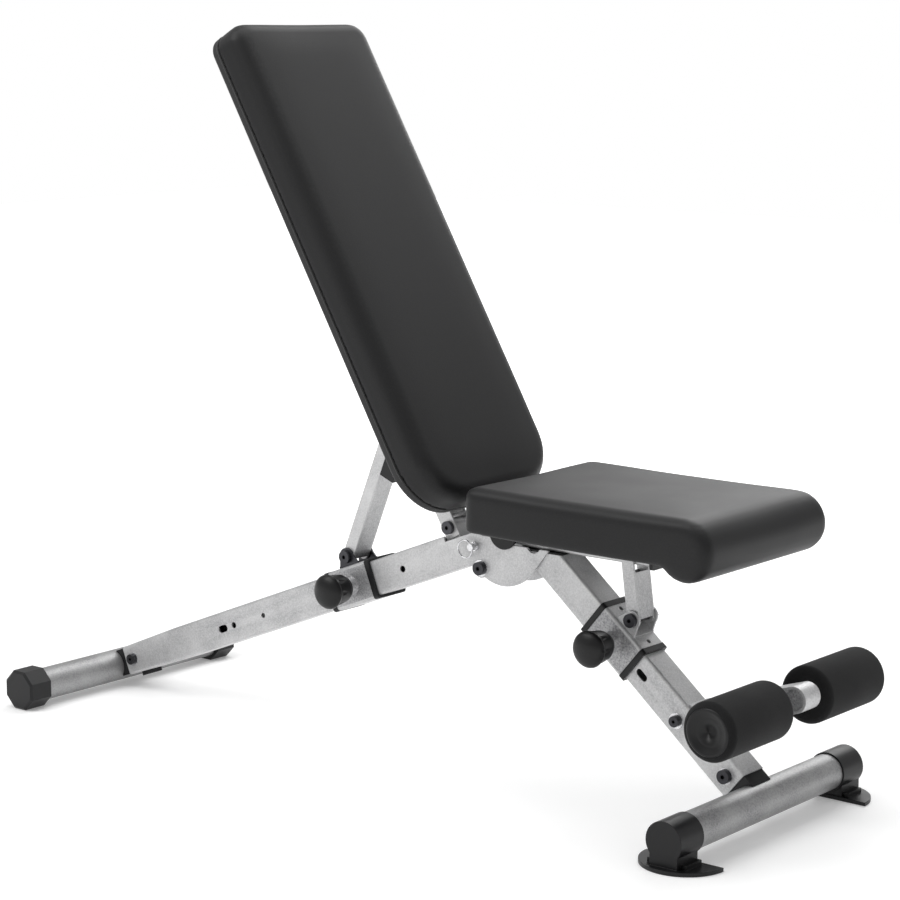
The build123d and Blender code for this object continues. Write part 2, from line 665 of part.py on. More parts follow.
# ================================================================ struts
def strut(plane, length, slot):
    """Flat tube with round ends; its top is slotted so that it straddles the tube it carries."""
    inside = strut_half_width - strut_side_wall
    for hand in (-1, 1):
        with BuildSketch(moved(plane, hand * (strut_half_width + inside) / 2)) as wall:
            with Locations((length / 2, 0)):
                SlotCenterToCenter(length, 2 * strut_half_depth)
            with Locations((0, 0), (length, 0)):
                Circle(bolt_radius + running_fit, mode=Mode.SUBTRACT)
        extrude(wall.sketch, amount=strut_side_wall / 2, both=True)
    for lean in (-1, 1):
        block(plane, 0, length - slot, lean * strut_half_depth, lean * (strut_half_depth - strut_wall),
              -inside, inside)


def pivot_caps(centre):
    """Bolt ends seen on both sides of a strut's top pivot, with no shank between them."""
    inside = strut_half_width - strut_side_wall
    for hand in (-1, 1):
        drum(side, centre, bolt_radius + running_fit, hand * inside, hand * strut_half_width)
        drum(side, centre, bolt_head_radius - 1.5, hand * strut_half_width, hand * (strut_half_width + 4))


with BuildPart() as rear_strut:
    strut(rear_strut_frame, rear_strut_length, rear_strut_slot)
save(rear_strut, "rear_strut")

with BuildPart() as rear_strut_caps:
    pivot_caps(rear_high)
save(rear_strut_caps, "rear_strut_caps")

with BuildPart() as strut_bumper:
    block(rear_strut_frame, 143.5, 173.5, -strut_half_depth, -strut_half_depth - 27, -strut_half_width,
          strut_half_width)
    fillet(strut_bumper.edges().filter_by(Axis.Y), 1.5)
save(strut_bumper, "strut_bumper")

with BuildPart() as front_strut:
    strut(front_strut_frame, front_strut_length, front_strut_slot)
save(front_strut, "front_strut")

with BuildPart() as front_strut_caps:
    pivot_caps(front_high)
save(front_strut_caps, "front_strut_caps")

# ================================================================ backrest
board_back = back_board_front - board_thickness
back_tube_half_depth = back_tube_depth / 2
tube_start = back_tube_half_depth + 4

with BuildPart() as back_hinge_plates:
    for hand in (-1, 1):
        with BuildSketch(moved(back, hand * (back_tube_half_width + hinge_plate / 2))):
            Polygon((-16, -back_tube_half_depth), (62, -back_tube_half_depth), (62, back_tube_half_depth),
                    (-16, back_tube_half_depth), align=None)
            Circle(bolt_radius + running_fit, mode=Mode.SUBTRACT)
        extrude(amount=hinge_plate / 2, both=True)
save(back_hinge_plates, "back_hinge_plates")

with BuildPart() as back_tube:
    box_tube(back, tube_start, back_tube_end, back_tube_half_width, back_tube_half_depth, 2.0)
save(back_tube, "back_tube")

with BuildPart() as back_tube_plug:
    block(back, back_tube_end, back_tube_end + 4, -back_tube_half_depth, back_tube_half_depth,
          -back_tube_half_width, back_tube_half_width)
    fillet(back_tube_plug.edges().filter_by(lambda e: abs(back.to_local_coords(e.center()).X - back_tube_end - 4)
                                            < 0.01), 1.5)
save(back_tube_plug, "back_tube_plug")

cross_bar_places = (93, 453)
cross_bar_half = 20.0
with BuildPart() as back_cross_bars:
    for at in cross_bar_places:
        block(back, at - cross_bar_half, at + cross_bar_half, back_tube_half_depth, board_back, -90, 90)
        block(back, at - cross_bar_half + 2, at + cross_bar_half - 2, back_tube_half_depth + 2, board_back - 2,
              -91, 91, Mode.SUBTRACT)
save(back_cross_bars, "back_cross_bars")


def back_outline():
    """Backrest outline, wide corners at the seat end and tighter ones at the head."""
    middle = back_start + back_length / 2
    with BuildSketch(Plane(origin=back.from_local_coords(Vector(middle, 0, 0)), x_dir=back.x_dir,
                           z_dir=back.y_dir)) as outline:
        Rectangle(back_length, back_width)
        fillet(outline.vertices().sort_by(Axis.X)[:2], back_low_corner)
        fillet(outline.vertices().sort_by(Axis.X)[-2:], back_top_corner)
    return outline.sketch


back_shape = back_outline()
shift = back.y_dir
with BuildPart() as back_board:
    add(extrude(back_shape.moved(Location(shift * board_back)), amount=board_thickness, mode=Mode.PRIVATE))
    fillet(back_board.edges().filter_by(
        lambda e: abs(back.to_local_coords(e.center()).Y - board_back) < 0.05), 5)
save(back_board, "back_board")

cushion_start = back_board_front + soft_gap
cushion_depth = board_back + back_thickness - cushion_start
with BuildPart() as back_pad:
    add(extrude(back_shape.moved(Location(shift * cushion_start)), amount=cushion_depth, mode=Mode.PRIVATE))
    front_edges = back_pad.edges().filter_by(
        lambda e: abs(back.to_local_coords(e.center()).Y - cushion_start - cushion_depth) < 0.05)
    fillet(front_edges, 20)
save(back_pad, "back_pad")

with BuildPart() as back_screws:
    for at in cross_bar_places:
        for across in (-70, 70):
            seat_face = Plane(origin=back.from_local_coords(Vector(at, back_tube_half_depth, 0)) + Vector(0, across, 0),
                              x_dir=(0, 1, 0), z_dir=back.y_dir)
            with BuildSketch(seat_face):
                Circle(6.5)
            extrude(amount=-4)
save(back_screws, "back_screws")

# ================================================================ seat
seat_tube_rear = seat_pivot[0] - 11.5
seat_tube_top = seat_tube_under + seat_tube_height
tube_front = place(seat_tube_front, 0)[0]
with BuildPart() as seat_tube:
    block(side, seat_tube_rear, tube_front, seat_tube_under, seat_tube_top, -seat_tube_half_width,
          seat_tube_half_width)
    fillet(seat_tube.edges().filter_by(Axis.X), 3)
    block(side, seat_tube_rear - 1, tube_front + 1, seat_tube_under + 2, seat_tube_top - 2,
          -seat_tube_half_width + 2, seat_tube_half_width - 2, Mode.SUBTRACT)
    drum(side, seat_pivot, bolt_radius + running_fit, -20, 20, Mode.SUBTRACT)
    # two flat bars across the top carry the seat
    for ahead in seat_bars_ahead:
        x = place(ahead, 0)[0]
        block(side, x - 16, x + 16, seat_tube_top, seat_under, -100, 100)
save(seat_tube, "seat_tube")

with BuildPart() as seat_tube_plug:
    block(side, tube_front, tube_front + 5, seat_tube_under - 5, seat_tube_top, -seat_tube_half_width + 0.5,
          seat_tube_half_width - 0.5)
    fillet(seat_tube_plug.edges().filter_by(Axis.X), 4)
save(seat_tube_plug, "seat_tube_plug")

seat_rear = place(seat_rear_ahead, 0)[0]
seat_nose = place(seat_nose_ahead, 0)[0]
seat_board_thickness = 9.0
board_inset = 10.0
nose_centre = (seat_nose - nose_radius, seat_top - nose_radius - 1)
board_front = nose_centre[0] - 45
with BuildPart() as seat_board:
    with BuildSketch(Plane.XY.offset(seat_under)):
        with Locations(((seat_rear + board_inset + board_front) / 2, 0)):
            RectangleRounded(board_front - seat_rear - board_inset, seat_width - 2 * board_inset, 25)
    extrude(amount=seat_board_thickness)
save(seat_board, "seat_board")

with BuildPart() as seat_pad:
    with BuildSketch(side):
        Polygon((seat_rear, seat_under), (nose_centre[0], seat_under), (nose_centre[0], nose_centre[1] + nose_radius),
                (seat_rear, nose_centre[1] + nose_radius), align=None)
        with Locations(nose_centre):
            Circle(nose_radius)
    extrude(amount=seat_width / 2, both=True)
    upright = seat_pad.edges().filter_by(Axis.Z)
    fillet(upright, seat_corner)
    rim = seat_pad.faces().filter_by(Axis.Z).sort_by(Axis.Z)[-1].edges()
    fillet(rim.filter_by(lambda e: e.center().X < nose_centre[0] - 1), 14)
    with BuildSketch(Plane.XY.offset(seat_under)):
        with Locations(((seat_rear + board_inset + board_front) / 2, 0)):
            RectangleRounded(board_front - seat_rear - board_inset + 2 * soft_gap,
                             seat_width - 2 * board_inset + 2 * soft_gap, 25)
    extrude(amount=seat_board_thickness + soft_gap, mode=Mode.SUBTRACT)
save(seat_pad, "seat_pad")

with BuildPart() as seat_screws:
    for ahead in seat_bars_ahead:
        for across in (-75, 75):
            with BuildSketch(Plane.XY.offset(seat_tube_top)):
                with Locations((place(ahead, 0)[0], across)):
                    Circle(6.5)
            extrude(amount=-4)
save(seat_screws, "seat_screws")
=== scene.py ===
"""Studio model of a folding decline sit up bench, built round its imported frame."""
import json
import logging
import math
from dataclasses import dataclass, field
from enum import Enum
from typing import Any

import bmesh
import bpy
import numpy as np
from mathutils import Euler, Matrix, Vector


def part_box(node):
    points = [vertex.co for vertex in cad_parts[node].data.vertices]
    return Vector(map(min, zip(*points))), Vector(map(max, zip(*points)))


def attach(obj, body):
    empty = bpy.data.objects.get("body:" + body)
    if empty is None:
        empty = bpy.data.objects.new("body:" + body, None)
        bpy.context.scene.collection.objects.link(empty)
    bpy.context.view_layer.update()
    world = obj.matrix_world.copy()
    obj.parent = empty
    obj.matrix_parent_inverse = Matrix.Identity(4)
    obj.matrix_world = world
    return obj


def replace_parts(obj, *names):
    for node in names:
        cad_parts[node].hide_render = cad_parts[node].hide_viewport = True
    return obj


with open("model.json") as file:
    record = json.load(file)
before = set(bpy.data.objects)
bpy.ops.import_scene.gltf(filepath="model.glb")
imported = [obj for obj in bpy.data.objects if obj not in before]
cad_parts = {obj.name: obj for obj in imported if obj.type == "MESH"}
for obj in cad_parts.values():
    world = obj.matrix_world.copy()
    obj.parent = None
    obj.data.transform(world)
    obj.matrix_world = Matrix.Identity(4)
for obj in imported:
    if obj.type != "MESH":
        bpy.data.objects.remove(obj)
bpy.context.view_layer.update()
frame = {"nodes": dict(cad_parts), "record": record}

logging.basicConfig(level=logging.INFO, format="%(message)s")
log = logging.getLogger("bench")

MM = 0.001
BACKREST_SLOPE = math.radians(59.7)
BEVEL_SAMPLES = 4
# pointiness at which the painted edge highlight starts to show, and at which it is full
HIGHLIGHT_FROM = 0.51
HIGHLIGHT_FULL = 0.60


# ---------------------------------------------------------------- colour and node helpers
def linear(hex_colour: str) -> tuple[float, float, float, float]:
    """Turn an sRGB hex colour into linear values.

    Args:
        hex_colour: colour such as "#c8c8c8".

    Returns:
        Linear red, green, blue and alpha.
    """
    parts = [int(hex_colour.lstrip("#")[i:i + 2], 16) / 255 for i in (0, 2, 4)]
    red, green, blue = (p / 12.92 if p <= 0.04045 else ((p + 0.055) / 1.055) ** 2.4 for p in parts)
    return (red, green, blue, 1.0)


def add_node(tree: bpy.types.NodeTree, kind: str, links: dict[str, Any] | None = None,
             **settings: Any) -> bpy.types.Node:
    """Add a shader node, set its values and link its inputs.

    Args:
        tree: node tree that gets the node.
        kind: Blender's node type name.
        links: input name to an output socket, or to a plain value.
        settings: attributes of the node itself.

    Returns:
        The new node.
    """
    made = tree.nodes.new(kind)
    for name, value in settings.items():
        setattr(made, name, value)
    for name, value in (links or {}).items():
        socket = made.inputs[int(name)] if name.isdigit() else made.inputs[name]
        if isinstance(value, bpy.types.NodeSocket):
            tree.links.new(value, socket)
        else:
            socket.default_value = value
    return made


def per_metre(size_mm: float) -> float:
    """Texture scale that gives features of a real size.

    Args:
        size_mm: size of one feature in millimetres.

    Returns:
        Scale for a texture in object coordinates in metres.
    """
    return 1.0 / (size_mm * MM)


class Flow(Enum):
    """Which pattern a surface's fine relief follows."""

    SPECKLE = "speckle"
    PEBBLE = "pebble"
    CELLS = "cells"


@dataclass(frozen=True)
class Finish:
    """One real finish, with its colour, gloss and fine relief.

    The fields that end in _mm are real sizes in millimetres. dark_below and light_above are the pattern
    heights at which the colour is fully the shade and fully the base.
    """

    name: str
    base: str
    shade: str
    roughness: float
    roughness_spread: float
    grain_mm: float
    relief_mm: float
    flow: Flow = Flow.SPECKLE
    metallic: float = 0.0
    ior: float = 1.5
    sheen: float = 0.0
    coat: float = 0.0
    # colour of the painted edge highlight on convex edges
    edge_highlight: str = ""
    edge_mm: float = 0.6
    broad_mm: float = 60.0
    specular: float = 0.5
    detail: float = 3.0
    clouding: float = 0.15
    dark_below: float = 0.40
    light_above: float = 0.72
    made: dict[str, bpy.types.Material] = field(default_factory=dict, compare=False, hash=False)

    def pattern(self, tree: bpy.types.NodeTree, coords: bpy.types.NodeSocket) -> bpy.types.NodeSocket:
        """Fine pattern of the surface, from 0 to 1.

        Args:
            tree: node tree of the material.
            coords: object coordinates in metres.

        Returns:
            Socket with the pattern's height.
        """
        if self.flow is Flow.SPECKLE:
            noise = add_node(tree, "ShaderNodeTexNoise",
                             {"Vector": coords, "Scale": per_metre(self.grain_mm),
                              "Detail": self.detail, "Roughness": 0.6})
            return noise.outputs["Fac"]
        cell = add_node(tree, "ShaderNodeTexVoronoi",
                        {"Vector": coords, "Scale": per_metre(self.grain_mm), "Randomness": 1.0},
                        feature="SMOOTH_F1" if self.flow is Flow.PEBBLE else "F1")
        return cell.outputs["Distance"]

    def material(self) -> bpy.types.Material:
        """Build the node material once and give it back each time.

        Returns:
            The Blender material.
        """
        if self.name in self.made:
            return self.made[self.name]
        mat = bpy.data.materials.new(self.name)
        mat.use_nodes = True
        tree = mat.node_tree
        shader = tree.nodes["Principled BSDF"]
        coords = add_node(tree, "ShaderNodeTexCoord").outputs["Object"]
        fine = self.pattern(tree, coords)
        broad = add_node(tree, "ShaderNodeTexNoise", {"Vector": coords, "Scale": per_metre(self.broad_mm),
                                                      "Detail": 4.0}).outputs["Fac"]
        cloud = add_node(tree, "ShaderNodeMath", {"0": broad, "1": self.clouding},
                         operation="MULTIPLY").outputs[0]
        mixed = add_node(tree, "ShaderNodeMath", {"0": fine, "1": cloud}, operation="ADD").outputs[0]
        ramp = add_node(tree, "ShaderNodeMapRange",
                        {"Value": mixed, "From Min": self.dark_below, "From Max": self.light_above})
        ramp = ramp.outputs["Result"]
        colour = add_node(tree, "ShaderNodeMix", data_type="RGBA")
        tree.links.new(ramp, colour.inputs[0])
        colour.inputs[6].default_value = linear(self.shade)
        colour.inputs[7].default_value = linear(self.base)
        tint = colour.outputs[2]
        if self.edge_highlight:
            # convex edges are painted lighter in broad patches: a painted edge highlight
            point = add_node(tree, "ShaderNodeNewGeometry").outputs["Pointiness"]
            highlight_mask = add_node(tree, "ShaderNodeMapRange",
                            {"Value": point, "From Min": HIGHLIGHT_FROM, "From Max": HIGHLIGHT_FULL}).outputs["Result"]
            patchy_highlight = add_node(tree, "ShaderNodeMath", {"0": highlight_mask, "1": broad},
                              operation="MULTIPLY").outputs[0]
            edge = add_node(tree, "ShaderNodeMix", data_type="RGBA")
            tree.links.new(patchy_highlight, edge.inputs[0])
            tree.links.new(tint, edge.inputs[6])
            edge.inputs[7].default_value = linear(self.edge_highlight)
            tint = edge.outputs[2]
        tree.links.new(tint, shader.inputs["Base Color"])
        rough = add_node(tree, "ShaderNodeMapRange",
                         {"Value": broad, "From Min": 0.3, "From Max": 0.7,
                          "To Min": self.roughness - self.roughness_spread,
                          "To Max": self.roughness + self.roughness_spread}).outputs["Result"]
        tree.links.new(rough, shader.inputs["Roughness"])
        softened = add_node(tree, "ShaderNodeBevel", {"Radius": self.edge_mm * MM}, samples=BEVEL_SAMPLES)
        bump = add_node(tree, "ShaderNodeBump",
                        {"Height": fine, "Strength": 1.0, "Distance": self.relief_mm * MM,
                         "Normal": softened.outputs["Normal"]})
        tree.links.new(bump.outputs["Normal"], shader.inputs["Normal"])
        shader.inputs["Metallic"].default_value = self.metallic
        if not self.metallic:
            shader.inputs["IOR"].default_value = self.ior
        shader.inputs["Specular IOR Level"].default_value = self.specular
        shader.inputs["Sheen Weight"].default_value = self.sheen
        shader.inputs["Coat Weight"].default_value = self.coat
        self.made[self.name] = mat
        return mat


# Mild steel tube, silver powder coat: a fine orange-peel speckle that scatters soft highlights; the lighter
# edge colour is a painted edge highlight.
POWDER_COAT = Finish("silver_powder_coat", "#b9b9ba", "#77777a", 0.45, 0.03, 2.4, 0.12, metallic=0.60,
                     edge_highlight="#d6d6d6", edge_mm=1.0, detail=5.0, dark_below=0.38, light_above=0.74)
# Round bars have the same coat, sprayed heavier, so they look a shade darker and rougher; the lighter edge
# colour is a painted edge highlight.
BAR_COAT = Finish("grey_powder_coat", "#9b9b9c", "#57575a", 0.46, 0.03, 2.6, 0.14, metallic=0.70,
                  edge_highlight="#b4b4b4", detail=5.0)
# Phosphated and oiled steel fasteners: near black with a dull gloss; the lighter edge colour is a painted
# edge highlight.
BLACK_STEEL = Finish("black_oxide_steel", "#1a1a1c", "#0e0e10", 0.40, 0.06, 0.9, 0.02, metallic=0.85,
                     edge_highlight="#5a5a5e", edge_mm=0.5)
# Bright zinc plate: pale, smooth, with faint clouding.
BRIGHT_STEEL = Finish("bright_zinc_plate", "#dededf", "#b9b9bc", 0.22, 0.06, 1.6, 0.01, metallic=1.0,
                      edge_mm=0.3)
# Injection moulded polypropylene: satin black with a fine spark-eroded grain; the lighter edge colour is a
# painted edge highlight.
PLASTIC = Finish("moulded_polypropylene", "#0d0d0e", "#070708", 0.38, 0.05, 0.9, 0.03, edge_highlight="#18181a",
                 specular=0.32, edge_mm=1.2)
# Embossed polyurethane leathercloth: pebble grain, drawn about twice its real size so that it shows.
VINYL = Finish("polyurethane_leathercloth", "#171718", "#0f0f10", 0.46, 0.03, 1.4, 0.07, flow=Flow.PEBBLE,
               sheen=0.03, specular=0.26, edge_mm=0.3, broad_mm=120.0,
               dark_below=0.10, light_above=0.75)
# Board behind the cushions, wrapped in thin black sheet.
BOARD = Finish("board_wrap", "#161617", "#101011", 0.55, 0.05, 1.4, 0.03, flow=Flow.PEBBLE, edge_mm=1.5)
# Nitrile rubber foam: open matt skin with fine cells.
FOAM = Finish("nitrile_foam", "#131314", "#09090a", 0.90, 0.05, 1.6, 0.16, flow=Flow.CELLS, sheen=0.08,
              edge_mm=0.4, specular=0.25, dark_below=0.15, light_above=0.80)
# Polyester thread of the seams.
THREAD = Finish("bonded_thread", "#0c0c0d", "#070707", 0.7, 0.05, 0.6, 0.05, sheen=0.2)


# ---------------------------------------------------------------- mesh helpers
def new_piece(name: str, mesh: bpy.types.Mesh, finish: Finish, body: str) -> bpy.types.Object:
    """Put a mesh in the scene as a piece that rides on a body.

    Args:
        name: piece name.
        mesh: its mesh, in the row frame.
        finish: its finish.
        body: CAD body that it rides on.

    Returns:
        The object.
    """
    piece = bpy.data.objects.new(name, mesh)
    bpy.context.scene.collection.objects.link(piece)
    mesh.materials.clear()
    mesh.materials.append(finish.material())
    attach(piece, body)
    return piece


def copy_of_node(node: str, name: str) -> bpy.types.Object:
    """A free copy of a CAD node's mesh, to be reshaped.

    Args:
        node: CAD node name.
        name: name of the copy.

    Returns:
        The copy, linked to the scene.
    """
    copy = bpy.data.objects.new(name, frame["nodes"][node].data.copy())
    bpy.context.scene.collection.objects.link(copy)
    return copy


def only(piece: bpy.types.Object) -> None:
    """Select one object and make it active."""
    bpy.ops.object.select_all(action="DESELECT")
    piece.select_set(True)
    bpy.context.view_layer.objects.active = piece


def apply_modifier(piece: bpy.types.Object, name: str) -> None:
    """Apply one modifier of a piece."""
    only(piece)
    bpy.ops.object.modifier_apply(modifier=name)


def tube_along(name: str, points: list[Vector], radius: float, closed: bool = True,
               sides: int = 8) -> bpy.types.Mesh:
    """Round cord mesh that follows a line.

    Args:
        name: mesh name.
        points: the line, in metres.
        radius: cord radius in metres.
        closed: whether the line is a loop.
        sides: sides of the cord's section.

    Returns:
        The mesh.
    """
    shape = bmesh.new()
    rings = []
    count = len(points)
    for index, point in enumerate(points):
        ahead = points[(index + 1) % count] if closed or index + 1 < count else point
        behind = points[index - 1] if closed or index else point
        run = (ahead - behind).normalized()
        across = run.orthogonal() if index == 0 else (rings[-1][1] - run * rings[-1][1].dot(run))
        across.normalize()
        lift = run.cross(across)
        ring = [shape.verts.new(point + radius * (math.cos(2 * math.pi * k / sides) * across
                                                  + math.sin(2 * math.pi * k / sides) * lift))
                for k in range(sides)]
        rings.append((ring, across))
    spans = count if closed else count - 1
    for index in range(spans):
        first, second = rings[index][0], rings[(index + 1) % count][0]
        for k in range(sides):
            shape.faces.new((first[k], first[(k + 1) % sides], second[(k + 1) % sides], second[k]))
    if not closed:
        shape.faces.new(list(reversed(rings[0][0])))
        shape.faces.new(rings[-1][0])
    bmesh.ops.recalc_face_normals(shape, faces=shape.faces)
    mesh = bpy.data.meshes.new(name)
    shape.to_mesh(mesh)
    shape.free()
    mesh.shade_smooth()
    return mesh


def turned(name: str, profile: list[tuple[float, float]], centre: Vector, hand: int,
           steps: int = 96) -> bpy.types.Mesh:
    """Mesh turned about a line across the bench.

    Args:
        name: mesh name.
        profile: (radius, sideways place) pairs in metres; the sideways place is unsigned.
        centre: a point on the axis.
        hand: 1 for the +Y side, -1 for the other.
        steps: facets round the axis.

    Returns:
        The mesh.
    """
    shape = bmesh.new()
    rings = []
    for radius, place in profile:
        rings.append([shape.verts.new((centre.x + radius * math.cos(2 * math.pi * k / steps), hand * place,
                                       centre.z + radius * math.sin(2 * math.pi * k / steps)))
                      for k in range(steps)])
    for first, second in zip(rings, rings[1:] + rings[:1]):
        for k in range(steps):
            shape.faces.new((first[k], first[(k + 1) % steps], second[(k + 1) % steps], second[k]))
    bmesh.ops.recalc_face_normals(shape, faces=shape.faces)
    mesh = bpy.data.meshes.new(name)
    shape.to_mesh(mesh)
    shape.free()
    mesh.shade_smooth()
    return mesh


# ---------------------------------------------------------------- cushions
@dataclass
class Cushion:
    """Upholstered cushion: foam on a board, under leathercloth that is pulled tight.

    The cover is simulated as cloth under light pressure, held where it meets the board.
    """

    node: str
    name: str
    body: str
    normal: Vector
    voxel_mm: float = 4.5
    pressure: float = 4.0
    cap_mm: float = 2.5
    held_mm: float = 7.0
    frames: int = 20
    evening: int = 60
    cover_mass: float = 0.3
    stretch_stiffness: float = 40.0
    shear_stiffness: float = 20.0
    bending_stiffness: float = 5.0

    def inflate(self, piece: bpy.types.Object) -> None:
        """Crown the cover with a short cloth simulation and apply the result.

        Args:
            piece: the remeshed cushion.
        """
        rest = [v.co.copy() for v in piece.data.vertices]
        heights = [p.dot(self.normal) for p in rest]
        base = min(heights)
        held = piece.vertex_groups.new(name="held")
        held.add([i for i, h in enumerate(heights) if h < base + self.held_mm * MM], 1.0, "REPLACE")
        cloth = piece.modifiers.new("cover", "CLOTH")
        setup = cloth.settings
        setup.quality = 4
        setup.mass = self.cover_mass
        setup.tension_stiffness = setup.compression_stiffness = self.stretch_stiffness
        setup.shear_stiffness = self.shear_stiffness
        setup.bending_stiffness = self.bending_stiffness
        setup.use_pressure = True
        setup.uniform_pressure_force = self.pressure
        setup.effector_weights.gravity = 0.0
        setup.vertex_group_mass = "held"
        cloth.point_cache.frame_start, cloth.point_cache.frame_end = 1, self.frames
        scene = bpy.context.scene
        for step in range(1, self.frames + 1):
            scene.frame_set(step)
        done = piece.evaluated_get(bpy.context.evaluated_depsgraph_get()).to_mesh()
        moved = [v.co.copy() for v in done.vertices]
        piece.evaluated_get(bpy.context.evaluated_depsgraph_get()).to_mesh_clear()
        piece.modifiers.remove(cloth)
        scene.frame_set(1)
        limit = self.cap_mm * MM
        shifts = np.array([after - before for before, after in zip(rest, moved)])
        sizes = np.maximum(np.linalg.norm(shifts, axis=1, keepdims=True), 1e-9)
        shifts *= limit * np.tanh(sizes / limit) / sizes
        shifts = self.spread(piece, shifts)
        for vertex, before, shift in zip(piece.data.vertices, rest, shifts):
            vertex.co = before + Vector(shift)
        piece.vertex_groups.clear()

    def spread(self, piece: bpy.types.Object, shifts: np.ndarray) -> np.ndarray:
        """Even out the simulated bulge, as tight foam does, so that no creases are left.

        Args:
            piece: the cushion.
            shifts: how far each vertex moved.

        Returns:
            The evened shifts.
        """
        edges = np.empty(2 * len(piece.data.edges), dtype=np.int64)
        piece.data.edges.foreach_get("vertices", edges)
        first, second = edges.reshape(-1, 2).T
        count = np.bincount(np.concatenate((first, second)), minlength=len(shifts))[:, None]
        for _ in range(self.evening):
            total = np.zeros_like(shifts)
            np.add.at(total, first, shifts[second])
            np.add.at(total, second, shifts[first])
            shifts = total / np.maximum(count, 1)
        return shifts

    def build(self) -> bpy.types.Object:
        """Returns:
            The cushion.
        """
        piece = copy_of_node(self.node, self.name)
        remesh = piece.modifiers.new("even", "REMESH")
        remesh.mode = "VOXEL"
        remesh.voxel_size = self.voxel_mm * MM
        apply_modifier(piece, "even")
        self.inflate(piece)
        smooth = piece.modifiers.new("settle", "SMOOTH")
        smooth.factor, smooth.iterations = 0.5, 2
        apply_modifier(piece, "settle")
        rounder = piece.modifiers.new("finer", "SUBSURF")
        rounder.levels = rounder.render_levels = 1
        apply_modifier(piece, "finer")
        piece.data.shade_smooth()
        piece.data.materials.clear()
        piece.data.materials.append(VINYL.material())
        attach(piece, self.body)
        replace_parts(piece, self.node)
        log.info("%s: %d faces", self.name, len(piece.data.polygons))
        return piece


@dataclass
class BackrestSeam:
    """Flat seam where the backrest's cover is closed round its board."""

    slope: float = BACKREST_SLOPE
    start: float = 11.0 * MM
    length: float = 752.0 * MM
    width: float = 282.0 * MM
    low_corner: float = 75.0 * MM
    top_corner: float = 30.0 * MM
    height: float = 56.4 * MM
    cord: float = 1.7 * MM
    inset: float = 1.1 * MM

    def path(self) -> list[Vector]:
        """Points of the seam, once round the backrest."""
        pivot = next(Vector(j["pos_m"]) for j in frame["record"]["behaviour"]["joints"]
                     if j["name"] == "backrest_tilt")
        run = Vector((-math.cos(self.slope), 0, math.sin(self.slope)))
        out = Vector((math.sin(self.slope), 0, math.cos(self.slope)))
        low, high = self.start + self.inset, self.start + self.length - self.inset
        half = self.width / 2 - self.inset
        corners = ((high, half, self.top_corner, 0), (high, -half, self.top_corner, -90),
                   (low, -half, self.low_corner, -180), (low, half, self.low_corner, -270))
        points = []
        for along, across, radius, turn in corners:
            centre = (along - math.copysign(radius, along - (low + high) / 2),
                      across - math.copysign(radius, across))
            for k in range(13):
                angle = math.radians(turn + 90 - 7.5 * k)
                points.append(pivot + run * (centre[0] + radius * math.cos(angle))
                              + out * self.height + Vector((0, centre[1] + radius * math.sin(angle), 0)))
        return points

    def build(self) -> bpy.types.Object:
        """Make the seam.

        Returns:
            The seam.
        """
        mesh = tube_along("back_seam", self.path(), self.cord)
        return new_piece("back_seam", mesh, THREAD, "backrest")


@dataclass
class Rollers:
    """The two foam leg rollers."""

    radius: float = 39.5 * MM
    inner: float = 43.0 * MM
    outer: float = 187.5 * MM
    rounding: float = 9.0 * MM
    core: float = 15.5 * MM
    recess: float = 24.0 * MM
    cap_disc: float = 20.0 * MM
    cap_rim: float = 31.5 * MM

    def profile(self) -> list[tuple[float, float]]:
        """Section of the foam, from its core outwards and back."""
        steps = 10
        line = [(self.core, self.inner), (self.radius - self.rounding, self.inner)]
        for k in range(1, steps):
            turn = math.pi / 2 * k / steps
            line.append((self.radius - self.rounding * (1 - math.sin(turn)),
                         self.inner + self.rounding * (1 - math.cos(turn))))
        line += [(self.radius, self.inner + self.rounding), (self.radius, self.outer - self.rounding)]
        for k in range(1, steps):
            turn = math.pi / 2 * k / steps
            line.append((self.radius - self.rounding * (1 - math.cos(turn)),
                         self.outer - self.rounding * (1 - math.sin(turn))))
        rim = self.radius - self.rounding
        # a bevel leads in to the end cap, which sits a little below the rim
        line += [(rim, self.outer), (rim - 1.2 * MM, self.outer - 0.3 * MM),
                 (self.recess + 0.6 * MM, self.outer - 3 * MM),
                 (self.recess, self.outer - 3.4 * MM), (self.recess, self.outer - 4 * MM),
                 (self.core, self.outer - 4 * MM)]
        return line

    def cap_profile(self) -> list[tuple[float, float]]:
        """Section of the end cap: sunk disc, bevel and a rolled rim."""
        axis = 0.05 * MM
        return [(axis, self.outer - 3.2 * MM), (self.cap_disc - 1.5 * MM, self.outer - 3.2 * MM),
                (self.cap_disc, self.outer - 2.9 * MM), (self.cap_rim - 5 * MM, self.outer + 0.3 * MM),
                (self.cap_rim - 3.5 * MM, self.outer + 0.9 * MM),
                (self.cap_rim - 1.5 * MM, self.outer + 0.9 * MM),
                (self.cap_rim, self.outer + 0.1 * MM), (self.cap_rim, self.outer - 0.6 * MM),
                (self.cap_disc + 2 * MM, self.outer - 3.8 * MM), (axis, self.outer - 3.8 * MM)]

    def build(self) -> None:
        """Make both rollers."""
        for side, hand in (("right", -1), ("left", 1)):
            low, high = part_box(f"{side}_foam")
            centre = Vector(((low[0] + high[0]) / 2, 0, (low[2] + high[2]) / 2))
            mesh = turned(f"{side}_roller_foam", self.profile(), centre, hand)
            piece = new_piece(f"{side}_roller_foam", mesh, FOAM, f"{side}_roller")
            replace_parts(piece, f"{side}_foam")
            cap = turned(f"{side}_end_cap", self.cap_profile(), centre, hand)
            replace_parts(new_piece(f"{side}_end_cap", cap, PLASTIC, f"{side}_roller"),
                        f"{side}_roller_cap")
            log.info("%s roller", side)


